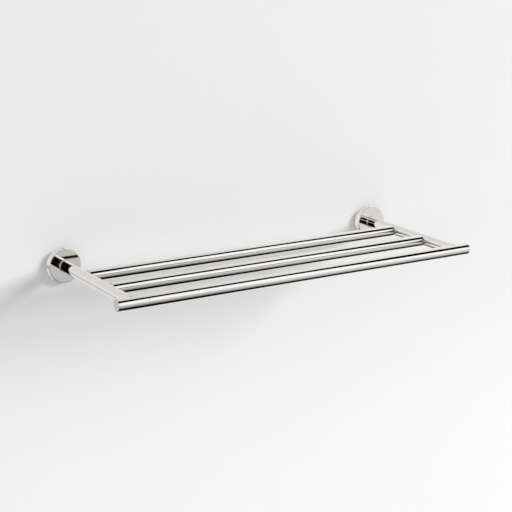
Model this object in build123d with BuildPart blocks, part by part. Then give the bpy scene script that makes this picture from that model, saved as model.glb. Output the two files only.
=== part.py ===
from build123d import *
from math import radians, tan
import os

os.makedirs("parts", exist_ok=True)

# A wall-mounted towel rack: two arms carry three round bars in one level plane.
# The wall is the plane Y = 0, the rack stands out along -Y, X runs along the bars, +Z is up.
# The origin is on the wall, midway between the two arms, at the height of their axes.
# Millimetres throughout.

# The whole rack
arm_spacing = 610.0       # between the axes of the two arms
bar_pitch = 85.0          # wall to rear bar, and each bar to the next
bar_count = 3
bar_dia = 19.0            # rear, middle and front bar, and the tee sleeves
bar_wall = 1.2

# Arm: a round rod from the ring to the tee
arm_dia = 19.0
bar_seat = 2.0            # how far a bar end is let into the arm's inner side
cope_stop = 3.0           # the arm ends this far behind the tee's axis: no knife edge on the cope

# Tee at the front of each arm
tee_overhang = 25.0       # arm axis to the tee's outer end, and to its seam
cap_thick = 2.0
cap_shank = 8.0           # part of the cap inside the sleeve
spigot_length = 40.0      # half in the sleeve, half in the front bar
edge_break = 0.3          # small chamfer on turned ends

# Plugs that close the rear and middle bars and tenon into the arms
plug_head = 1.5
plug_shank = 10.0
tenon_dia = 5.0
tenon_length = 11.0

# Flange that covers the wall bracket, and the ring between it and the arm
flange_dia = 56.0
flange_depth = 12.0
flange_face = 3.0
flange_wall = 2.2
flange_round = 1.2
ring_lip = 1.2            # how far the ring stands out around the arm
ring_thick = 1.5

# Wall bracket and its wood screws
bracket_gap = 1.0         # between the bracket and the inside of the flange's face
bracket_play = 0.2        # radial, between bracket and flange
window_play = 1.5         # radial, around the head of the post screw
screw_edge = 8.6          # bracket's edge to the axis of each wall screw
wall_screw_dia = 4.5      # over the thread, which starts at the wall
wall_shank_dia = 4.0      # plain shank inside the bracket
wall_screw_head = 8.6
wall_screw_length = 40.0
wall_screw_tip = 4.0
tip_taper = 20.0          # degrees
countersink = 90.0        # degrees
cross_span = 4.5          # cross recess in the head: its width over all
cross_slot = 0.9
cross_depth = 1.4

# Post screw, which clamps ring and flange to the arm
post_screw_dia = 6.0
post_screw_grip = 14.0    # length inside the arm
post_drill_run = 3.0      # threaded hole beyond the screw's end
post_head_dia = 10.0
post_head_height = 5.0
post_socket = 4.0         # across flats of the hexagon socket
post_socket_depth = 2.5

# Set screws: diameter, depth of bite into the piece they hold, socket across flats
flange_set_dia = 4.0
flange_set_bite = 1.8
flange_set_socket = 2.0
spigot_set_dia = 4.0
spigot_set_bite = 2.4
spigot_set_socket = 2.0
tenon_set_dia = 3.0
tenon_set_bite = 0.8
tenon_set_socket = 1.5
tenon_set_sink = 0.5      # below the arm's surface
socket_share = 0.5        # depth of a set screw's socket, as a share of its length
hexagon = 6

# Clearances
braze_gap = 0.05          # radial, or end to end, in a brazed or pushed joint
thread_gap = 0.05         # radial, around a screw

# Arms and bars, worked out
arm_reach = arm_spacing / 2
rear_reach = bar_pitch
middle_reach = 2 * bar_pitch
front_reach = bar_count * bar_pitch
bar_radius = bar_dia / 2
bore_radius = bar_radius - bar_wall
shank_radius = bore_radius - braze_gap
arm_radius = arm_dia / 2
arm_root = flange_depth + ring_thick
arm_length = front_reach - cope_stop - arm_root
bar_end = arm_reach - arm_radius + bar_seat
tenon_root = bar_end + braze_gap
tenon_set_base = arm_radius - tenon_set_sink
tenon_set_length = tenon_set_base - tenon_dia / 2 + tenon_set_bite - braze_gap

# Tees, worked out
tee_seam = arm_reach - tee_overhang
sleeve_end = arm_reach + tee_overhang - cap_thick
spigot_start = tee_seam - spigot_length / 2
spigot_set_offset = spigot_length / 4
spigot_set_length = bar_wall + spigot_set_bite

# Flanges, brackets and their screws, worked out
flange_radius = flange_dia / 2
cup_depth = flange_depth - flange_face
cup_radius = flange_radius - flange_wall
bracket_radius = cup_radius - bracket_play
bracket_thick = cup_depth - bracket_gap
bracket_window = post_head_dia / 2 + window_play
flange_set_reach = bracket_thick / 2
flange_set_top = flange_radius - edge_break
flange_set_length = flange_set_top - bracket_radius + flange_set_bite - braze_gap
ring_radius = arm_radius + ring_lip
post_hole = post_screw_dia / 2 + thread_gap
screw_offset = bracket_radius - screw_edge
screw_points = [(0, screw_offset), (0, -screw_offset)]
wall_head_height = (wall_screw_head - wall_shank_dia) / 2 / tan(radians(countersink / 2))
thread_length = wall_screw_length - bracket_thick - wall_screw_tip


def side_plane(x):
    """Plane across an arm at the wall: normal away from the wall, local Y up."""
    return Plane(origin=(x, 0, 0), x_dir=(1, 0, 0), z_dir=(0, -1, 0))


def outward_plane(x, reach, sign):
    """Plane across a bar's axis, facing away from the middle of the rack."""
    return Plane(origin=(x, -reach, 0), x_dir=(0, 1, 0), z_dir=(sign, 0, 0))


def level_plane(x, reach, height, facing):
    """Level plane that faces up (1) or down (-1), for what is driven in from there."""
    return Plane(origin=(x, -reach, height), x_dir=(1, 0, 0), z_dir=(0, 0, facing))


def make_set_screw(base, diameter, length, socket):
    """Headless screw that ends flush with its base plane and points against its normal."""
    with BuildPart() as screw:
        with BuildSketch(base):
            Circle(diameter / 2)
        extrude(amount=-length)
        chamfer(screw.edges(), edge_break)
        with BuildSketch(base):
            RegularPolygon(socket / 2, hexagon, major_radius=False)
        extrude(amount=-length * socket_share, mode=Mode.SUBTRACT)
    return screw.part


# Rear and middle bar: tubes that end at the heads of their plugs
for bar_name, reach in (("rear_bar", rear_reach), ("middle_bar", middle_reach)):
    with BuildPart() as bar:
        with BuildSketch(outward_plane(0, reach, 1)):
            Circle(bar_radius)
            Circle(bore_radius, mode=Mode.SUBTRACT)
        extrude(amount=bar_end - plug_head, both=True)
    bar.part.label = bar_name
    export_step(bar.part, f"parts/{bar_name}.step")

# Front bar: the same tube between the seams of the tees, with a set screw hole under each end
with BuildPart() as front_bar:
    with BuildSketch(outward_plane(0, front_reach, 1)):
        Circle(bar_radius)
        Circle(bore_radius, mode=Mode.SUBTRACT)
    extrude(amount=tee_seam, both=True)
    for sign in (-1, 1):
        with BuildSketch(level_plane(sign * (tee_seam - spigot_set_offset), front_reach, -bar_radius, -1)):
            Circle(spigot_set_dia / 2 + thread_gap)
        extrude(amount=-bar_radius, mode=Mode.SUBTRACT)
front_bar.part.label = "front_bar"
export_step(front_bar.part, "parts/front_bar.step")

for side, sign in (("left", -1), ("right", 1)):
    arm_x = sign * arm_reach
    wall_face = side_plane(arm_x)
    outer_end = -1 if sign > 0 else 0    # which group along X faces away from the rack's middle

    # Plug in each bar end: a head as wide as the bar, a shank inside it and a tenon into the arm
    for bar_name, reach in (("rear_bar", rear_reach), ("middle_bar", middle_reach)):
        with BuildPart() as plug:
            with BuildSketch(outward_plane(sign * bar_end, reach, sign)):
                Circle(bar_radius)
            extrude(amount=-plug_head)
            chamfer(plug.edges().group_by(Axis.X)[outer_end], edge_break)
            with BuildSketch(outward_plane(sign * (bar_end - plug_head), reach, sign)):
                Circle(shank_radius)
            extrude(amount=-plug_shank)
            with BuildSketch(outward_plane(sign * bar_end, reach, sign)):
                Circle(tenon_dia / 2)
            extrude(amount=tenon_length)
            with BuildSketch(level_plane(arm_x, reach, -tenon_dia / 2, -1)):
                Circle(tenon_set_dia / 2 + thread_gap)
            extrude(amount=-tenon_set_bite, mode=Mode.SUBTRACT)
        plug.part.label = f"{bar_name}_{side}_plug"
        export_step(plug.part, f"parts/{bar_name}_{side}_plug.step")

    # Arm, turned from one rod
    with BuildPart() as arm:
        with BuildSketch(wall_face.offset(arm_root)):
            Circle(arm_radius)
        extrude(amount=arm_length)
        # The front end is coped to the tee sleeve
        with BuildSketch(outward_plane(arm_x, front_reach, sign)):
            Circle(bar_radius + braze_gap)
        extrude(amount=arm_dia, both=True, mode=Mode.SUBTRACT)
        # Flat seats, tenon bores and set screw holes for the rear and middle bars
        for reach in (rear_reach, middle_reach):
            with BuildSketch(outward_plane(sign * tenon_root, reach, sign)):
                Circle(bar_radius + braze_gap)
            extrude(amount=-arm_dia, mode=Mode.SUBTRACT)
            with BuildSketch(outward_plane(sign * tenon_root, reach, sign)):
                Circle(tenon_dia / 2 + braze_gap)
            extrude(amount=tenon_length, mode=Mode.SUBTRACT)
            with BuildSketch(level_plane(arm_x, reach, -arm_radius, -1)):
                Circle(tenon_set_dia / 2 + thread_gap)
            extrude(amount=-arm_radius, mode=Mode.SUBTRACT)
        # Threaded hole for the post screw
        with BuildSketch(wall_face.offset(arm_root)):
            Circle(post_hole)
        extrude(amount=post_screw_grip + post_drill_run, mode=Mode.SUBTRACT)
    arm.part.label = f"{side}_arm"
    export_step(arm.part, f"parts/{side}_arm.step")

    # Set screws that hold the two tenons, driven up from under the arm
    tenon_screws = [
        make_set_screw(
            level_plane(arm_x, reach, -tenon_set_base, -1),
            tenon_set_dia,
            tenon_set_length,
            tenon_set_socket,
        )
        for reach in (rear_reach, middle_reach)
    ]
    with BuildPart() as bar_screws:
        add(tenon_screws)
    bar_screws.part.label = f"{side}_bar_screws"
    export_step(bar_screws.part, f"parts/{side}_bar_screws.step")

    # Tee sleeve, brazed across the coped end of the arm
    with BuildPart() as sleeve:
        with BuildSketch(outward_plane(sign * tee_seam, front_reach, sign)):
            Circle(bar_radius)
            Circle(bore_radius, mode=Mode.SUBTRACT)
        extrude(amount=sleeve_end - tee_seam)
        with BuildSketch(level_plane(sign * (tee_seam + spigot_set_offset), front_reach, -bar_radius, -1)):
            Circle(spigot_set_dia / 2 + thread_gap)
        extrude(amount=-bar_radius, mode=Mode.SUBTRACT)
    sleeve.part.label = f"{side}_tee_sleeve"
    export_step(sleeve.part, f"parts/{side}_tee_sleeve.step")

    # Flat cap on the sleeve's outer end
    with BuildPart() as cap:
        with BuildSketch(outward_plane(sign * sleeve_end, front_reach, sign)):
            Circle(bar_radius)
        extrude(amount=cap_thick)
        chamfer(cap.edges().group_by(Axis.X)[outer_end], edge_break)
        with BuildSketch(outward_plane(sign * sleeve_end, front_reach, sign)):
            Circle(shank_radius)
        extrude(amount=-cap_shank)
    cap.part.label = f"{side}_tee_cap"
    export_step(cap.part, f"parts/{side}_tee_cap.step")

    # Spigot across the seam between the sleeve and the front bar
    with BuildPart() as spigot:
        with BuildSketch(outward_plane(sign * spigot_start, front_reach, sign)):
            Circle(shank_radius)
        extrude(amount=spigot_length)
        chamfer(spigot.edges(), edge_break)
        for offset_x in (-spigot_set_offset, spigot_set_offset):
            with BuildSketch(level_plane(sign * (tee_seam + offset_x), front_reach, -shank_radius, -1)):
                Circle(spigot_set_dia / 2 + thread_gap)
            extrude(amount=-spigot_set_bite, mode=Mode.SUBTRACT)
    spigot.part.label = f"{side}_tee_spigot"
    export_step(spigot.part, f"parts/{side}_tee_spigot.step")

    # Its two set screws, one up into each half
    tee_screws = [
        make_set_screw(
            level_plane(sign * (tee_seam + offset_x), front_reach, -bar_radius, -1),
            spigot_set_dia,
            spigot_set_length,
            spigot_set_socket,
        )
        for offset_x in (-spigot_set_offset, spigot_set_offset)
    ]
    with BuildPart() as spigot_screws:
        add(tee_screws)
    spigot_screws.part.label = f"{side}_spigot_screws"
    export_step(spigot_screws.part, f"parts/{side}_spigot_screws.step")

    # Flange: a shallow round cup with its open side on the wall
    with BuildPart() as flange:
        with BuildSketch(wall_face):
            Circle(flange_radius)
        extrude(amount=flange_depth)
        fillet(flange.edges().group_by(Axis.Y)[0], flange_round)
        with BuildSketch(wall_face):
            Circle(cup_radius)
        extrude(amount=cup_depth, mode=Mode.SUBTRACT)
        with BuildSketch(wall_face.offset(cup_depth)):
            Circle(post_hole)
        extrude(amount=flange_face, mode=Mode.SUBTRACT)
        with BuildSketch(level_plane(arm_x, flange_set_reach, bracket_radius, 1)):
            Circle(flange_set_dia / 2 + thread_gap)
        extrude(amount=flange_radius, mode=Mode.SUBTRACT)
    flange.part.label = f"{side}_flange"
    export_step(flange.part, f"parts/{side}_flange.step")

    # Set screw in the top of the flange's rim, which bites on the bracket
    flange_screw = make_set_screw(
        level_plane(arm_x, flange_set_reach, flange_set_top, 1),
        flange_set_dia,
        flange_set_length,
        flange_set_socket,
    )
    flange_screw.label = f"{side}_flange_set_screw"
    export_step(flange_screw, f"parts/{side}_flange_set_screw.step")

    # Thin ring between the flange and the arm
    with BuildPart() as ring:
        with BuildSketch(wall_face.offset(flange_depth)):
            Circle(ring_radius)
            Circle(post_hole, mode=Mode.SUBTRACT)
        extrude(amount=ring_thick)
        chamfer(ring.edges().group_by(Axis.Y)[0].sort_by(SortBy.RADIUS)[-1], edge_break)
    ring.part.label = f"{side}_neck_ring"
    export_step(ring.part, f"parts/{side}_neck_ring.step")

    # Socket head screw from inside the flange into the arm
    with BuildPart() as post_screw:
        with BuildSketch(wall_face.offset(cup_depth - post_head_height)):
            Circle(post_head_dia / 2)
        extrude(amount=post_head_height)
        chamfer(post_screw.edges().group_by(Axis.Y)[-1], edge_break)
        with BuildSketch(wall_face.offset(cup_depth)):
            Circle(post_screw_dia / 2)
        extrude(amount=flange_face + ring_thick + post_screw_grip)
        chamfer(post_screw.edges().group_by(Axis.Y)[0], edge_break)
        with BuildSketch(wall_face.offset(cup_depth - post_head_height)):
            RegularPolygon(post_socket / 2, hexagon, major_radius=False)
        extrude(amount=post_socket_depth, mode=Mode.SUBTRACT)
    post_screw.part.label = f"{side}_post_screw"
    export_step(post_screw.part, f"parts/{side}_post_screw.step")

    # Wall bracket: a thick disc that the flange slides over
    with BuildPart() as bracket:
        with BuildSketch(wall_face):
            Circle(bracket_radius)
            Circle(bracket_window, mode=Mode.SUBTRACT)
        extrude(amount=bracket_thick)
        with Locations(wall_face.offset(bracket_thick)):
            with Locations(*screw_points):
                CounterSinkHole(
                    radius=wall_screw_dia / 2 + thread_gap,
                    counter_sink_radius=wall_screw_head / 2 + thread_gap,
                    depth=bracket_thick,
                    counter_sink_angle=countersink,
                )
        with BuildSketch(level_plane(arm_x, flange_set_reach, bracket_radius - flange_set_bite, 1)):
            Circle(flange_set_dia / 2 + thread_gap)
        extrude(amount=flange_set_bite, mode=Mode.SUBTRACT)
    bracket.part.label = f"{side}_wall_bracket"
    export_step(bracket.part, f"parts/{side}_wall_bracket.step")

    # Two countersunk wood screws: plain shanks in the bracket, threads and tips in the wall
    head_face = wall_face.offset(bracket_thick)
    with BuildPart() as wall_screws:
        with BuildSketch(head_face):
            with Locations(*screw_points):
                Circle(wall_shank_dia / 2)
        extrude(amount=-bracket_thick)
        with BuildSketch(wall_face):
            with Locations(*screw_points):
                Circle(wall_screw_dia / 2)
        extrude(amount=-thread_length)
        with BuildSketch(wall_face.offset(-thread_length)):
            with Locations(*screw_points):
                Circle(wall_screw_dia / 2)
        extrude(amount=-wall_screw_tip, taper=tip_taper)
        with Locations(head_face.offset(-wall_head_height / 2)):
            with Locations(*screw_points):
                Cone(wall_shank_dia / 2, wall_screw_head / 2, wall_head_height)
        with BuildSketch(head_face):
            with Locations(*screw_points):
                Rectangle(cross_span, cross_slot)
                Rectangle(cross_slot, cross_span)
        extrude(amount=-cross_depth, mode=Mode.SUBTRACT)
    wall_screws.part.label = f"{side}_wall_screws"
    export_step(wall_screws.part, f"parts/{side}_wall_screws.step")
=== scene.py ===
import bmesh
import bpy
import numpy as np
from mathutils import Matrix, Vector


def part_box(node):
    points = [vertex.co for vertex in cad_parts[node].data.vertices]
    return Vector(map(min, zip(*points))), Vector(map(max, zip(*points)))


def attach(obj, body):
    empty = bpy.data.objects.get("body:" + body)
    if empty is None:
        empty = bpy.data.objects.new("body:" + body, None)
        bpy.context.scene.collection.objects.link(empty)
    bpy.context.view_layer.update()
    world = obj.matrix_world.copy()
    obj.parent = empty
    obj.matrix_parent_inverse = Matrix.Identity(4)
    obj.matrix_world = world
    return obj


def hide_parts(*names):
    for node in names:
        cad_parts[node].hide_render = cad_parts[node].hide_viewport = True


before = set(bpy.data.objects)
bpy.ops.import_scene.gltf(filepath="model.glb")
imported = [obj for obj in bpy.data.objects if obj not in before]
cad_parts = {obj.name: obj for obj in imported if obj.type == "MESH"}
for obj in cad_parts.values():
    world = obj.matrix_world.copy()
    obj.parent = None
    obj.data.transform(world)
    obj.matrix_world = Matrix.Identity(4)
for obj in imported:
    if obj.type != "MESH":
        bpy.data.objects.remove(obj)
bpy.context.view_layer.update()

# ---------------------------------------------------------------------------------------------
# Wall brackets and their wood screws
# Each bracket is a thick steel disc, punched, countersunk and zinc plated. Two wood screws
# hold it flat on the wall, and the flange slides over it, so neither shows from the front.
# ---------------------------------------------------------------------------------------------
zinc_colour = (0.62, 0.64, 0.67)
zinc_shade = 0.8          # of the colour, in its darkest places
zinc_crystal = 260.0      # crystals per metre
zinc_roughness = (0.22, 0.42)
zinc_grain_height = 0.00002
noise_detail = 4.0
tint_span = (0.35, 0.65)  # of the noise, from the shade to the colour
gloss_span = (0.3, 0.7)   # of the noise, from the lower roughness to the higher


def metal(name, colour, shade, roughness, cell, grain_height):
    """Metal whose colour, gloss and surface vary over cells of a given size.

    A noise of the object's own coordinates is read three times: between the colour and a
    darker shade of it, between two roughnesses, and as the height of a very shallow grain.
    """
    made = bpy.data.materials.new(name)
    made.use_nodes = True
    nodes, links = made.node_tree.nodes, made.node_tree.links
    shader = nodes["Principled BSDF"]
    shader.inputs["Metallic"].default_value = 1.0
    where = nodes.new("ShaderNodeTexCoord")
    noise = nodes.new("ShaderNodeTexNoise")
    noise.inputs["Scale"].default_value = cell
    noise.inputs["Detail"].default_value = noise_detail
    links.new(where.outputs["Object"], noise.inputs["Vector"])
    tint = nodes.new("ShaderNodeValToRGB")
    darker = [shade * channel for channel in colour]
    for element, place, tone in zip(tint.color_ramp.elements, tint_span, (darker, colour)):
        element.position = place
        element.color = (*tone, 1.0)
    links.new(noise.outputs["Fac"], tint.inputs["Fac"])
    links.new(tint.outputs["Color"], shader.inputs["Base Color"])
    gloss = nodes.new("ShaderNodeMapRange")
    gloss.inputs["From Min"].default_value = gloss_span[0]
    gloss.inputs["From Max"].default_value = gloss_span[1]
    gloss.inputs["To Min"].default_value = roughness[0]
    gloss.inputs["To Max"].default_value = roughness[1]
    links.new(noise.outputs["Fac"], gloss.inputs["Value"])
    links.new(gloss.outputs["Result"], shader.inputs["Roughness"])
    grain = nodes.new("ShaderNodeBump")
    grain.inputs["Strength"].default_value = 1.0
    grain.inputs["Distance"].default_value = grain_height
    links.new(noise.outputs["Fac"], grain.inputs["Height"])
    links.new(grain.outputs["Normal"], shader.inputs["Normal"])
    return made


def dress(node, material):
    """Gives a CAD node whose shape is right as it is its finished material."""
    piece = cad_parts[node]
    piece.data.materials.clear()
    piece.data.materials.append(material)


zinc_plate = metal(
    "zinc_plate", zinc_colour, zinc_shade, zinc_roughness, zinc_crystal, zinc_grain_height
)
for side in ("left", "right"):
    dress(f"{side}_wall_bracket", zinc_plate)
    dress(f"{side}_wall_screws", zinc_plate)

# ---------------------------------------------------------------------------------------------
# Flanges
# A shallow cup turned from brass bar, its front edge rounded, polished and nickel plated. It
# slides over the bracket. A threaded hole in the top of its rim takes the set screw.
# ---------------------------------------------------------------------------------------------
rim_wall = 0.0022
face_thick = 0.003
front_round = 0.0012
back_round = 0.0002
post_hole = 0.00305
rim_hole = 0.00205
rim_hole_reach = 0.004    # from the wall to the hole's centre
from_wall = (0, -1, 0)
upwards = (0, 0, 1)

round_steps = 8           # along a rounded edge
around = 144              # facets round a turned piece
panel_facets = 8          # that a hole's panel takes on each side of the hole
panel_along = 12          # steps of a hole's panel along the axis
panel_reach = 1.7         # half the length of a hole's panel, in radii of the hole
hole_rings = 6            # between the border of a panel and its hole
ring_spread = 0.8         # under 1, the rings are closer together towards the hole
weld_distance = 1e-6      # between grids that share an edge
sliver = 1e-7             # the shortest edge that a face may have
crease_angle = 30.0       # between faces, in degrees, from which an edge is sharp

nickel_colour = (0.80, 0.775, 0.735)
nickel_shade = 0.97
nickel_roughness = (0.035, 0.06)
nickel_cell = 35.0
nickel_grain_height = 0.000002
polished_nickel = metal(
    "polished_nickel", nickel_colour, nickel_shade, nickel_roughness, nickel_cell, nickel_grain_height
)


def profile(corners):
    """Points of a turned profile from its corners, each (along, radius, round).

    A corner with a round becomes a circular arc that touches both of its sides: it starts
    round / tan(half the angle) before the corner, and its centre lies on the bisector,
    round / sin(half the angle) from the corner.
    """
    points = []
    for i, (along, radius, fillet) in enumerate(corners):
        corner = np.array((along, radius))
        if fillet == 0:
            points.append(corner[None])
            continue
        before = np.array(corners[i - 1][:2]) - corner
        after = np.array(corners[(i + 1) % len(corners)][:2]) - corner
        before /= np.linalg.norm(before)
        after /= np.linalg.norm(after)
        half = np.arccos(before @ after) / 2
        start = before * fillet / np.tan(half)
        end = after * fillet / np.tan(half)
        bisector = before + after
        centre = bisector / np.linalg.norm(bisector) * fillet / np.sin(half)
        first = np.arctan2(*(start - centre)[::-1])
        turn = np.arctan2(*(end - centre)[::-1]) - first
        turn = (turn + np.pi) % (2 * np.pi) - np.pi
        angle = first + turn * np.linspace(0, 1, round_steps + 1)
        arc = centre + fillet * np.stack((np.cos(angle), np.sin(angle)), axis=1)
        points.append(corner + arc)
    return np.concatenate(points)


def turned(points, origin, axis, start):
    """Surface of a profile carried once round its axis: (along, radius) at each angle gives
    origin + along * axis + radius * (cos * start + sin * (axis x start))."""
    angle = np.linspace(0, 2 * np.pi, around + 1)
    axis, start = np.array(axis, float), np.array(start, float)
    out = np.cos(angle)[:, None] * start + np.sin(angle)[:, None] * np.cross(axis, start)
    return np.array(origin) + points[:, None, :1] * axis + points[:, None, 1:] * out[None]


def border(grid):
    """The points of a grid's edge, once round and closed."""
    return np.concatenate((grid[0, :-1], grid[:-1, -1], grid[-1, :0:-1], grid[::-1, 0]))


def holed(grid, centre, radius):
    """Grid between the border of a flat patch and a round hole in it.

    Each border point is joined in a straight line to the point of the circle that lies the
    same way from the hole's centre.
    """
    edge = border(grid)
    way = edge - np.array(centre)
    circle = np.array(centre) + radius * way / np.linalg.norm(way, axis=1, keepdims=True)
    share = (np.linspace(0, 1, hole_rings + 1) ** ring_spread)[:, None, None]
    return edge * (1 - share) + circle * share


def pierced(radius, ends, holes, hole_radius, origin, axis, start):
    """Patches of a round wall with round holes on its start side, and the rim of each hole.

    The wall is a cylinder between two ends. A hole's panel is worked out in two lengths, along
    the axis and sideways, and a point s sideways lies sqrt(radius^2 - s^2) out from the axis.
    """
    step = 2 * np.pi / around
    near = np.arange(-panel_facets, panel_facets + 1) * step
    far = np.arange(panel_facets, around - panel_facets + 1) * step
    half = panel_reach * hole_radius
    stops = [np.linspace(h - half, h + half, panel_along + 1) for h in holes]
    along = np.concatenate([ends[:1], *stops, ends[1:]])
    axis, start = np.array(axis, float), np.array(start, float)
    side = np.cross(axis, start)

    def wall(grid):
        out = np.sqrt(radius**2 - grid[..., 1:] ** 2)
        return np.array(origin) + grid[..., :1] * axis + grid[..., 1:] * side + out * start

    def strip(stations, angle):
        out = np.cos(angle)[:, None] * start + np.sin(angle)[:, None] * side
        return np.array(origin) + stations[:, None, None] * axis + radius * out[None]

    patches = [strip(along, far)]
    edges = np.concatenate([ends[:1], *(s[[0, -1]] for s in stops), ends[1:]]).reshape(-1, 2)
    patches += [strip(pair, near) for pair in edges]
    rims = []
    for stations, hole in zip(stops, holes):
        grid = np.stack(np.meshgrid(stations, radius * np.sin(near), indexing="ij"), axis=2)
        panel = holed(grid, (hole, 0.0), hole_radius)
        patches.append(wall(panel))
        rims.append(wall(panel[-1]))
    return patches, rims


def drilled(outer, inner, holes, hole_radius, *place):
    """Patches of the two faces of a round wall with round holes through it, and of the holes'
    own sides, ruled from rim to rim. Each face is its radius and its ends along the axis."""
    patches, rims = [], []
    for radius, ends in (outer, inner):
        walls, edges = pierced(radius, np.array(ends), holes, hole_radius, *place)
        patches += walls
        rims.append(edges)
    return patches + [np.stack(pair) for pair in zip(*rims)]


def plated(node, patches):
    """One closed nickel-plated piece in place of a node, from its grids of points: grids that
    meet share their edge points, which are merged, and the faces are then turned outwards."""
    name = f"polished_{node}"
    mesh = bpy.data.meshes.new(name)
    points, faces, first = [], [], 0
    for patch in patches:
        rows, columns = patch.shape[:2]
        index = first + np.arange(rows * columns).reshape(rows, columns)
        quads = (index[:-1, :-1], index[1:, :-1], index[1:, 1:], index[:-1, 1:])
        faces.append(np.stack(quads, axis=2).reshape(-1, 4))
        points.append(patch.reshape(-1, 3))
        first += rows * columns
    mesh.from_pydata(np.concatenate(points), [], np.concatenate(faces).tolist())
    whole = bmesh.new()
    whole.from_mesh(mesh)
    bmesh.ops.remove_doubles(whole, verts=whole.verts, dist=weld_distance)
    bmesh.ops.dissolve_degenerate(whole, edges=whole.edges, dist=sliver)
    bmesh.ops.recalc_face_normals(whole, faces=whole.faces)
    whole.to_mesh(mesh)
    whole.free()
    mesh.shade_smooth()
    mesh.set_sharp_from_angle(angle=np.radians(crease_angle))
    mesh.materials.append(polished_nickel)
    piece = bpy.data.objects.new(name, mesh)
    bpy.context.scene.collection.objects.link(piece)
    flat = piece.modifiers.new("flat faces stay flat", "WEIGHTED_NORMAL")
    flat.keep_sharp = True
    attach(piece, "root")
    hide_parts(node)


for side in ("left", "right"):
    low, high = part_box(f"{side}_flange")
    centre = ((low.x + high.x) / 2, 0.0, 0.0)
    radius = (high.x - low.x) / 2
    depth = high.y - low.y
    cup = radius - rim_wall
    inside = depth - face_thick
    place = (centre, from_wall, upwards)
    front = profile([(0.0, radius, 0), (depth, radius, front_round), (depth, post_hole, 0)])[1:]
    back = profile([(0.0, cup, 0), (0.0, radius, back_round), (depth, radius, 0)])[:-1]
    hollow = np.array([(depth, post_hole), (inside, post_hole), (inside, cup)])
    patches = [turned(points, *place) for points in (front, back, hollow)]
    rim = (radius, (back_round, depth - front_round))
    patches += drilled(rim, (cup, (0.0, inside)), [rim_hole_reach], rim_hole, *place)
    plated(f"{side}_flange", patches)

# ---------------------------------------------------------------------------------------------
# Neck rings
# A thin nickel-plated washer, a little wider than the arm. It hides the joint between flange
# and arm, and its front edge is broken.
# ---------------------------------------------------------------------------------------------
ring_break = 0.0009

for side in ("left", "right"):
    low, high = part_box(f"{side}_neck_ring")
    centre = ((low.x + high.x) / 2, high.y, 0.0)
    radius = (high.x - low.x) / 2
    thick = high.y - low.y
    corners = [
        (0.0, post_hole, 0),
        (0.0, radius, 0),
        (thick, radius, ring_break),
        (thick, post_hole, 0),
        (0.0, post_hole, 0),
    ]
    plated(f"{side}_neck_ring", [turned(profile(corners), centre, from_wall, upwards)])

# ---------------------------------------------------------------------------------------------
# Post screws and set screws
# Stainless socket screws. The post screw clamps flange and ring to the arm from inside, and
# the headless ones are driven into the rim's top, the arm's underside and the tee's underside.
# ---------------------------------------------------------------------------------------------
steel_colour = (0.30, 0.29, 0.28)
steel_shade = 0.75
steel_roughness = (0.2, 0.38)
steel_cell = 900.0
steel_grain_height = 0.00001

turned_steel = metal(
    "turned_steel", steel_colour, steel_shade, steel_roughness, steel_cell, steel_grain_height
)
for side in ("left", "right"):
    for screw in ("post_screw", "flange_set_screw", "bar_screws", "spigot_screws"):
        dress(f"{side}_{screw}", turned_steel)

# ---------------------------------------------------------------------------------------------
# Arms
# Each arm is one brass rod, drilled at the wall end for the post screw, then polished and
# plated. Flat seats are cut into its inner side for the rear and middle bar, and its front end
# is coped to the tee sleeve.
# ---------------------------------------------------------------------------------------------
arm_radius = 0.0095
cope_stop = 0.003         # the arm ends at least this far behind the tee's axis
seat_depth = 0.00205      # from the arm's inner side to the seat's floor
seat_gap = 0.00005        # between a seat's round wall and the bar in it
tenon_bore = 0.00255
tenon_bore_depth = 0.011
screw_hole = 0.00155
screw_hole_depth = 0.0069
post_bore_depth = 0.017

inner_steps = 28          # round the strip that the seats cut
lower_steps = 16          # round the strip below it, and round the next, that the screws enter
outer_steps = 90          # round the rest
span_steps = 12           # along the arm, between seats
seat_steps = 24           # along the arm, across a seat
seat_wall_steps = 4
short_steps = 2           # along or across a hole
sides = (("left", -1), ("right", 1))    # with the way along X that is outwards


def lerp(a, b, steps):
    """Equal steps from a to b, which may be arrays of the same shape, as a new first axis."""
    share = np.linspace(0, 1, steps + 1).reshape(-1, *([1] * np.ndim(a)))
    return np.asarray(a) * (1 - share) + np.asarray(b) * share


def stand(across, reach, height):
    """Grid of an arm's points: across from its axis towards the bars, reach out from the wall."""
    return np.stack(np.broadcast_arrays(across, reach, height), axis=-1)


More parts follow.
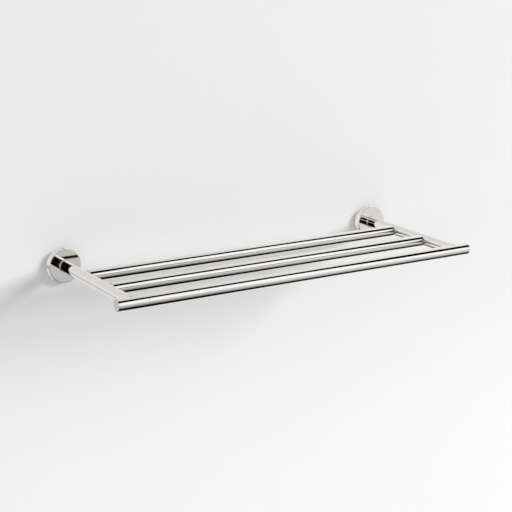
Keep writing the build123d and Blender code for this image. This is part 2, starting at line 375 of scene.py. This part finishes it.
for side, sign in sides:
    low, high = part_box(f"{side}_arm")
    root = -high.y
    bars = [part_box(f"{name}_bar") for name in ("rear", "middle", "front")]
    reaches = [-(bar[0].y + bar[1].y) / 2 for bar in bars]
    seat_radius = (bars[0][1].z - bars[0][0].z) / 2 + seat_gap
    floor = arm_radius - seat_depth

    # The rod's outline in four strips: the one that the seats cut, the next one down, the one
    # underneath with the panels of the set screws, and the rest. A strip's margin is how far
    # from a bar's axis its stretches end. It goes evenly from one edge of the strip to the
    # other, except on the first strip, where it is the bow of the seat's round wall.
    seat_edge = np.sqrt(seat_radius**2 - arm_radius**2 + floor**2)
    seat_angle = np.arccos(floor / arm_radius)
    panel_half = panel_reach * screw_hole
    under_half = np.arcsin(panel_half / arm_radius)
    down = -np.pi / 2
    inner = np.linspace(seat_angle, -seat_angle, inner_steps + 1)
    lower = np.linspace(-seat_angle, down + under_half, lower_steps + 1)
    under = np.linspace(down + under_half, down - under_half, lower_steps + 1)
    outer = np.linspace(down - under_half, seat_angle - 2 * np.pi, outer_steps + 1)
    patches = []
    for angle, margins in (
        (inner, None),
        (lower, (seat_edge, panel_half)),
        (under, (panel_half, panel_half)),
        (outer, (panel_half, seat_edge)),
    ):
        ring = arm_radius * np.stack((np.cos(angle), np.sin(angle)))
        # Flat wall end with the bore of the post screw
        hole = ring / arm_radius * post_hole
        for a, b, start, stop in (
            (ring, hole, root, root),
            (hole, hole, root, root + post_bore_depth),
            (hole, hole * 0, root + post_bore_depth, root + post_bore_depth),
        ):
            rows = lerp(a, b, short_steps)
            patches.append(stand(rows[:, 0], lerp(start, stop, short_steps)[:, None], rows[:, 1]))
        # Side of the rod: a stretch before, between and after the seats, the last of which ends
        # on the cope's curve, and on the second and fourth strips one beside each seat
        bow = np.sqrt(seat_radius**2 - ring[1] ** 2)
        cope = reaches[2] - np.maximum(bow, cope_stop)
        margin = bow if margins is None else np.linspace(*margins, angle.size)
        starts = [root + 0 * bow, reaches[0] + margin, reaches[1] + margin]
        ends = [reaches[0] - margin, reaches[1] - margin, cope]
        for start, end in zip(starts, ends):
            patches.append(stand(ring[0], lerp(start, end, span_steps), ring[1]))
        if margins is not None and margins[0] != margins[1]:
            for reach in reaches[:2]:
                beside = lerp(reach - margin, reach + margin, seat_steps)
                patches.append(stand(ring[0], beside, ring[1]))
        # Front end: the cope's hollow, and the flat left at its top and bottom
        share = np.linspace(1, 0, span_steps + 1)[:, None]
        height = share * ring[1]
        hollow = reaches[2] - np.maximum(np.sqrt(seat_radius**2 - height**2), cope_stop)
        patches.append(stand(share * ring[0], hollow, height))

    edge_z = arm_radius * np.sin(inner)
    edge_x = arm_radius * np.cos(inner)
    bow = np.sqrt(seat_radius**2 - edge_z**2)
    under_x = arm_radius * np.cos(under)
    for reach in reaches[:2]:
        # Round walls of the seat, ruled across from the floor to the rod's side
        for way in (-1, 1):
            walls = lerp(np.full_like(edge_x, floor), edge_x, seat_wall_steps)
            patches.append(stand(walls, reach + way * bow, edge_z))
        # Floor of the seat, with the bore of the tenon
        rows = lerp(reach - bow, reach + bow, seat_steps)
        grid = np.stack(np.broadcast_arrays(rows, edge_z), axis=2)
        panel = holed(grid, (reach, 0.0), tenon_bore)
        patches.append(stand(floor, panel[..., 0], panel[..., 1]))
        rim = panel[-1]
        bottom = floor - tenon_bore_depth
        patches.append(stand(lerp(floor, bottom, short_steps)[:, None], rim[:, 0], rim[:, 1]))
        cap = lerp(rim, np.broadcast_to((reach, 0.0), rim.shape), short_steps)
        patches.append(stand(bottom, cap[..., 0], cap[..., 1]))
        # Panel under the rod, with the threaded hole of the set screw that holds the tenon
        along = lerp(reach - panel_half, reach + panel_half, seat_steps)
        grid = np.stack(np.broadcast_arrays(under_x, along[:, None]), axis=2)
        panel = holed(grid, (0.0, reach), screw_hole)
        depth = np.sqrt(arm_radius**2 - panel[..., 0] ** 2)
        patches.append(stand(panel[..., 0], panel[..., 1], -depth))
        rim = panel[-1]
        top = screw_hole_depth - arm_radius
        bore = lerp(-depth[-1], np.full_like(depth[-1], top), short_steps)
        patches.append(stand(rim[:, 0], rim[:, 1], bore))
        cap = lerp(rim, np.broadcast_to((0.0, reach), rim.shape), short_steps)
        patches.append(stand(cap[..., 0], cap[..., 1], top))
    # From the arm's own directions to the rack's
    to_rack = np.array((-sign, -1, 1))
    axis_place = np.array(((low.x + high.x) / 2, 0.0, 0.0))
    plated(f"{side}_arm", [patch * to_rack + axis_place for patch in patches])

# ---------------------------------------------------------------------------------------------
# Rear and middle bars with their plugs
# Drawn brass tubes, polished and plated. A turned plug closes each end: its head sits in the
# seat of the arm, flush with the tube, and its tenon goes into the arm.
# ---------------------------------------------------------------------------------------------
bar_wall = 0.0012
end_round = 0.0004        # broken edge of a tube's end
head_thick = 0.0015
head_round = 0.0003
shank_gap = 0.00005
tenon_radius = 0.0025
downwards = (0, 0, -1)


def tube(low, high):
    """Closed profile of a tube along X between two ends: its outside, with a small round at
    each end, and its bore."""
    radius = (high.z - low.z) / 2
    bore = radius - bar_wall
    corners = [
        (0.0, radius, end_round),
        (high.x - low.x, radius, end_round),
        (high.x - low.x, bore, 0),
        (0.0, bore, 0),
    ]
    points = profile(corners)
    return np.concatenate((points, points[:1]))


for name in ("rear_bar", "middle_bar"):
    low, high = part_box(name)
    origin = (low.x, (low.y + high.y) / 2, (low.z + high.z) / 2)
    plated(name, [turned(tube(low, high), origin, (1, 0, 0), downwards)])
    for side, sign in sides:
        node = f"{name}_{side}_plug"
        plug_low, plug_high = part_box(node)
        radius = (plug_high.z - plug_low.z) / 2
        shank = radius - bar_wall - shank_gap
        joint = high.x if sign > 0 else low.x
        tip = plug_high.x if sign > 0 else plug_low.x
        stop = plug_low.x if sign > 0 else plug_high.x
        corners = [
            (sign * (stop - joint), 0.0, 0),
            (sign * (stop - joint), shank, 0),
            (0.0, shank, 0),
            (0.0, radius, 0),
            (head_thick, radius, head_round),
            (head_thick, tenon_radius, 0),
            (sign * (tip - joint), tenon_radius, 0),
            (sign * (tip - joint), 0.0, 0),
        ]
        place = ((joint, *origin[1:]), (sign, 0, 0), downwards)
        plated(node, [turned(profile(corners), *place)])

# ---------------------------------------------------------------------------------------------
# Front bar and tee sleeves
# The front bar is the same tube, between two short sleeves that are brazed across the arms. A
# fine seam shows where they meet, and under each side of it a set screw holds the spigot.
# ---------------------------------------------------------------------------------------------
spigot_screw_hole = 0.00205
spigot_screw_offset = 0.010   # from the seam to each screw

for node, seams in (
    ("front_bar", ("low", "high")),
    ("left_tee_sleeve", ("high",)),
    ("right_tee_sleeve", ("low",)),
):
    low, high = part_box(node)
    length = high.x - low.x
    radius = (high.z - low.z) / 2
    bore = radius - bar_wall
    place = ((low.x, (low.y + high.y) / 2, (low.z + high.z) / 2), (1, 0, 0), downwards)
    screw_places = {"low": spigot_screw_offset, "high": length - spigot_screw_offset}
    holes = [screw_places[seam] for seam in seams]
    low_end = profile([(0.0, bore, 0), (0.0, radius, end_round), (length, radius, 0)])[:-1]
    high_end = profile([(0.0, radius, 0), (length, radius, end_round), (length, bore, 0)])[1:]
    patches = [turned(points, *place) for points in (low_end, high_end)]
    outside = (radius, (end_round, length - end_round))
    patches += drilled(outside, (bore, (0.0, length)), holes, spigot_screw_hole, *place)
    plated(node, patches)

# ---------------------------------------------------------------------------------------------
# Tee caps
# Flat turned discs with a shank, pushed and brazed into the outer end of each sleeve.
# ---------------------------------------------------------------------------------------------
cap_thick = 0.002

for side, sign in sides:
    low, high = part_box(f"{side}_tee_cap")
    radius = (high.z - low.z) / 2
    seat = (high.x if sign > 0 else low.x) - sign * cap_thick
    shank = radius - bar_wall - shank_gap
    shank_end = cap_thick - (high.x - low.x)
    corners = [
        (shank_end, 0.0, 0),
        (shank_end, shank, 0),
        (0.0, shank, 0),
        (0.0, radius, 0),
        (cap_thick, radius, head_round),
        (cap_thick, 0.0, 0),
    ]
    place = ((seat, (low.y + high.y) / 2, (low.z + high.z) / 2), (sign, 0, 0), downwards)
    plated(f"{side}_tee_cap", [turned(profile(corners), *place)])

# ---------------------------------------------------------------------------------------------
# Spigots
# Plain turned brass rods across each seam of the front bar, out of sight inside the tubes.
# ---------------------------------------------------------------------------------------------
brass_colour = (0.78, 0.60, 0.30)
brass_shade = 0.85
brass_roughness = (0.15, 0.3)
brass_cell = 500.0
brass_grain_height = 0.00001

plain_brass = metal(
    "plain_brass", brass_colour, brass_shade, brass_roughness, brass_cell, brass_grain_height
)
for side in ("left", "right"):
    dress(f"{side}_tee_spigot", plain_brass)

# ---------------------------------------------------------------------------------------------
# Backdrop
# A pale matt painted wall that curves into a floor well below the rack. Its colour is a little paler
# towards the floor, which is painted light, brighter low down. It is clear from behind, so that the
# rack can be seen from there too.
# ---------------------------------------------------------------------------------------------
wall_top = 2.2
wall_half = 3.0
floor_height = -1.3
cove_radius = 0.5
cove_steps = 32
floor_front = -4.0
wall_tone = 0.80          # from this height up
wall_tone_height = 0.0
# Painted light: a paler tone from this height down, for brighter light low on the wall
painted_light_tone = 0.86          # from this height down
painted_light_height = -0.5
wall_roughness = 0.9

turn = np.linspace(0, np.pi / 2, cove_steps + 1)
run = np.r_[0.0, -cove_radius + cove_radius * np.cos(turn), floor_front]
drop = np.r_[wall_top, floor_height + cove_radius - cove_radius * np.sin(turn), floor_height]
rows = np.stack((run, drop), axis=1)
across = np.array([(-wall_half, wall_half)])
points = np.stack(np.broadcast_arrays(across, rows[:, :1], rows[:, 1:]), axis=2).reshape(-1, 3)
first = np.arange(len(rows) - 1) * 2
faces = np.stack((first, first + 2, first + 3, first + 1), axis=1)
mesh = bpy.data.meshes.new("backdrop")
mesh.from_pydata(points, [], faces.tolist())
mesh.shade_smooth()
backdrop = bpy.data.objects.new("backdrop", mesh)
bpy.context.scene.collection.objects.link(backdrop)
backdrop.visible_glossy = False

paint = bpy.data.materials.new("wall_paint")
paint.use_nodes = True
nodes, links = paint.node_tree.nodes, paint.node_tree.links
shader = nodes["Principled BSDF"]
wall_place = nodes.new("ShaderNodeTexCoord")
wall_axes = nodes.new("ShaderNodeSeparateXYZ")
links.new(wall_place.outputs["Object"], wall_axes.inputs["Vector"])
# Painted light: eases the wall's colour from the paler tone below to the plain tone above
painted_light_share = nodes.new("ShaderNodeMapRange")
painted_light_share.interpolation_type = "SMOOTHSTEP"
painted_light_share.inputs["From Min"].default_value = painted_light_height
painted_light_share.inputs["From Max"].default_value = wall_tone_height
links.new(wall_axes.outputs["Z"], painted_light_share.inputs["Value"])
shading = nodes.new("ShaderNodeMixRGB")
shading.inputs["Color1"].default_value = (painted_light_tone, painted_light_tone, painted_light_tone, 1.0)
shading.inputs["Color2"].default_value = (wall_tone, wall_tone, wall_tone, 1.0)
links.new(painted_light_share.outputs["Result"], shading.inputs["Fac"])
links.new(shading.outputs["Color"], shader.inputs["Base Color"])
shader.inputs["Roughness"].default_value = wall_roughness
shader.inputs["Specular IOR Level"].default_value = 0.0
side_seen = nodes.new("ShaderNodeNewGeometry")
clear = nodes.new("ShaderNodeBsdfTransparent")
one_sided = nodes.new("ShaderNodeMixShader")
links.new(side_seen.outputs["Backfacing"], one_sided.inputs["Fac"])
links.new(shader.outputs["BSDF"], one_sided.inputs[1])
links.new(clear.outputs["BSDF"], one_sided.inputs[2])
links.new(one_sided.outputs["Shader"], nodes["Material Output"].inputs["Surface"])
mesh.materials.append(paint)

# ---------------------------------------------------------------------------------------------
# Light
# A studio with a large soft window to the front right, dark overhead and below, which is what
# the polished metal shows, with a painted shadow of the rack on the wall behind. Two soft lamps and
# an even glow light everything matt.
# ---------------------------------------------------------------------------------------------
ambient_light = 0.5
plain_light = 0.85        # straight into the camera, round the backdrop

# A direction is given by its tilt in degrees, or by how far it points sideways, upwards or
# off straight ahead. A pair of numbers is where a smooth step starts and stops.

# Brightness in front, by tilt, on the left and on the right of this edge
front_left = [(-163, 0.0), (-147, 0.22), (-130, 0.48), (-108, 0.63), (-84, 1.15), (-60, 1.2)]
front_right = [(-172, 0.0), (-148, 0.40), (-127, 0.78), (-105, 0.85), (-83, 1.25), (-62, 1.25)]
right_edge = (0.42, 0.56)
# The dark strip overhead starts at this tilt, and further forward except in the rack's middle
strip_edge = (-43.0, -34.0)
strip_reach = 14.0
strip_middle = ((0.38, 0.44), (0.52, 0.60))
# Two thin dark rings round straight ahead, which the arms show at their roots. They are open
# on the right and at the top.
inner_ring = ((0.40, 0.425), (0.495, 0.52))
outer_ring = ((0.54, 0.57), (0.66, 0.69))
open_right = (0.08, 0.20)
open_top = (0.46, 0.52)
# Brightness of the wall behind from left to right, and where it ends at its top and its foot
wall_levels = [(-1.0, 0.85), (-0.57, 1.0), (-0.36, 0.87), (0.38, 0.84), (0.6, 1.02), (1.0, 1.05)]
wall_head = (-10.0, 0.0)
wall_foot = (134.0, 146.0)
foot_rise = 12.0          # how much higher it ends on the left, in degrees
# Except on the right, a weaker light reaches further forward than the wall's top
spill_levels = [(-20, 0.0), (15, 0.8), (90, 1.0)]
spill_edge = (-0.33, -0.22)
# A painted shadow of the rack on the wall behind, to the lower left, seen only in reflections
painted_shadow_height = ((-0.34, -0.24), (-0.22, -0.13))
painted_shadow_left = ((0.25, 0.36), (0.44, 0.50))
painted_shadow_depth = 0.5

lamps_aim = (0.0, 0.0, 0.0)
key_place = (9.4, -7.4, 3.9)
key_size = 3.9
key_power = 1150.0
fill_place = (-6.0, -6.0, 2.0)
fill_size = 4.0
fill_power = 60.0

world = bpy.data.worlds.new("studio")
bpy.context.scene.world = world
world.use_nodes = True
nodes, links = world.node_tree.nodes, world.node_tree.links
nodes.clear()
way = nodes.new("ShaderNodeTexCoord")
parts = nodes.new("ShaderNodeSeparateXYZ")
links.new(way.outputs["Generated"], parts.inputs["Vector"])


def sums(operation, *terms):
    """Output of a Math node with these terms, each a number or another node's output."""
    node = nodes.new("ShaderNodeMath")
    node.operation = operation
    for socket, term in zip(node.inputs, terms):
        if isinstance(term, (int, float)):
            socket.default_value = term
        else:
            links.new(term, socket)
    return node.outputs["Value"]


def step_up(value, start, stop):
    """Smooth step from 0 to 1 as a value goes from start to stop."""
    node = nodes.new("ShaderNodeMapRange")
    node.interpolation_type = "SMOOTHSTEP"
    links.new(value, node.inputs["Value"])
    node.inputs["From Min"].default_value = start
    node.inputs["From Max"].default_value = stop
    return node.outputs["Result"]


def ramp(value, low, high, stops):
    """Level read off a curve of (place, level) stops between two ends, eased between stops."""
    curve = nodes.new("ShaderNodeValToRGB")
    curve.color_ramp.interpolation = "EASE"
    while len(curve.color_ramp.elements) < len(stops):
        curve.color_ramp.elements.new(0.5)
    for element, (place, level) in zip(curve.color_ramp.elements, stops):
        element.position = (place - low) / (high - low)
        element.color = (level, level, level, 1.0)
    share = sums("MULTIPLY_ADD", value, 1 / (high - low), -low / (high - low))
    links.new(share, curve.inputs["Fac"])
    return curve.outputs["Color"]


def both(*terms):
    """Product of any number of terms."""
    product = terms[0]
    for term in terms[1:]:
        product = sums("MULTIPLY", product, term)
    return product


def rest(value):
    """One less the value."""
    return sums("SUBTRACT", 1.0, value)


def band(value, rise, fall):
    """Smooth step up over one stretch of a value and back down over another."""
    return both(step_up(value, *rise), rest(step_up(value, *fall)))


# Tilt of a direction in degrees: 0 overhead, 90 level towards the wall, -90 level in front
sideways, height = parts.outputs["X"], parts.outputs["Z"]
leftward = sums("MULTIPLY", sideways, -1.0)
tilt = sums("MULTIPLY", sums("ARCTAN2", parts.outputs["Y"], height), 180 / np.pi)

# In front: a bright window, dimmer further down, more so to the left
on_right = step_up(sideways, *right_edge)
on_left = rest(on_right)
left_glow = both(ramp(tilt, -180, 180, front_left), on_left)
right_glow = both(ramp(tilt, -180, 180, front_right), on_right)
window_glow = sums("ADD", left_glow, right_glow)
strip_start, strip_stop = strip_middle
strip_ends = sums("MAXIMUM", rest(step_up(sideways, *strip_start)), step_up(sideways, *strip_stop))
strip = rest(step_up(sums("MULTIPLY_ADD", strip_ends, strip_reach, tilt), *strip_edge))
off_front = sums("SQRT", sums("ADD", both(sideways, sideways), both(height, height)))
rings = sums("MAXIMUM", band(off_front, *inner_ring), band(off_front, *outer_ring))
opening = sums("MAXIMUM", step_up(sideways, *open_right), step_up(height, *open_top))
front_glow = both(window_glow, strip, sums("MAXIMUM", opening, rest(rings)))

# Behind: the pale wall
spill = both(ramp(tilt, -180, 180, spill_levels), step_up(leftward, *spill_edge))
head = sums("MAXIMUM", step_up(tilt, *wall_head), spill)
foot = rest(step_up(sums("MULTIPLY_ADD", on_left, foot_rise, tilt), *wall_foot))
# Painted shadow on the wall that the metal shows
shadow = both(band(height, *painted_shadow_height), band(leftward, *painted_shadow_left), painted_shadow_depth)
wall_glow = both(ramp(sideways, -1, 1, wall_levels), head, foot, rest(shadow))

sky = nodes.new("ShaderNodeBackground")
links.new(sums("ADD", front_glow, wall_glow), sky.inputs["Color"])
ambient = nodes.new("ShaderNodeBackground")
ambient.inputs["Color"].default_value = (ambient_light, ambient_light, ambient_light, 1.0)
plain = nodes.new("ShaderNodeBackground")
plain.inputs["Color"].default_value = (plain_light, plain_light, plain_light, 1.0)
seen = nodes.new("ShaderNodeLightPath")
metal_sees = nodes.new("ShaderNodeMixShader")
links.new(seen.outputs["Is Glossy Ray"], metal_sees.inputs["Fac"])
links.new(ambient.outputs["Background"], metal_sees.inputs[1])
links.new(sky.outputs["Background"], metal_sees.inputs[2])
camera_sees = nodes.new("ShaderNodeMixShader")
links.new(seen.outputs["Is Camera Ray"], camera_sees.inputs["Fac"])
links.new(metal_sees.outputs["Shader"], camera_sees.inputs[1])
links.new(plain.outputs["Background"], camera_sees.inputs[2])
output = nodes.new("ShaderNodeOutputWorld")
links.new(camera_sees.outputs["Shader"], output.inputs["Surface"])


def soft_light(name, place, target, size, power):
    """Square area light that faces a target and lights the wall without showing in the metal."""
    data = bpy.data.lights.new(name, "AREA")
    data.shape = "SQUARE"
    data.size = size
    data.energy = power
    lamp = bpy.data.objects.new(name, data)
    bpy.context.scene.collection.objects.link(lamp)
    back = np.array(place, float) - np.array(target, float)
    back /= np.linalg.norm(back)
    right = np.cross((0, 0, 1), back)
    right /= np.linalg.norm(right)
    turned_to = np.eye(4)
    turned_to[:3] = np.stack((right, np.cross(back, right), back, place), axis=1)
    lamp.matrix_world = Matrix(turned_to)
    lamp.visible_glossy = False
    lamp.visible_camera = False


soft_light("key", key_place, lamps_aim, key_size, key_power)
soft_light("fill", fill_place, lamps_aim, fill_size, fill_power)

# ---------------------------------------------------------------------------------------------
# Camera
# A long lens to the left of the rack and a little above it, turned to the right and tipped
# down, so that both flanges are in view.
# ---------------------------------------------------------------------------------------------
camera_place = (-1.1750, -2.0534, 0.5972)
camera_yaw = np.radians(31.11)      # to the right of straight at the wall
camera_pitch = np.radians(14.78)    # below level
camera_roll = np.radians(0.11)
camera_lens = 98.47                 # focal length and sensor width are in millimetres
sensor_width = 36.0
farthest_seen = 50.0

ahead = np.array(
    (
        np.sin(camera_yaw) * np.cos(camera_pitch),
        np.cos(camera_yaw) * np.cos(camera_pitch),
        -np.sin(camera_pitch),
    )
)
level = np.array((np.cos(camera_yaw), -np.sin(camera_yaw), 0.0))
upright = np.cross(level, ahead)
right = level * np.cos(camera_roll) + upright * np.sin(camera_roll)
up = upright * np.cos(camera_roll) - level * np.sin(camera_roll)
data = bpy.data.cameras.new("camera")
data.lens = camera_lens
data.sensor_width = sensor_width
data.clip_end = farthest_seen
camera = bpy.data.objects.new("camera", data)
bpy.context.scene.collection.objects.link(camera)
facing = np.eye(4)
facing[:3] = np.stack((right, up, -ahead, camera_place), axis=1)
camera.matrix_world = Matrix(facing)
bpy.context.scene.camera = camera
bpy.context.scene.view_settings.view_transform = "Standard"
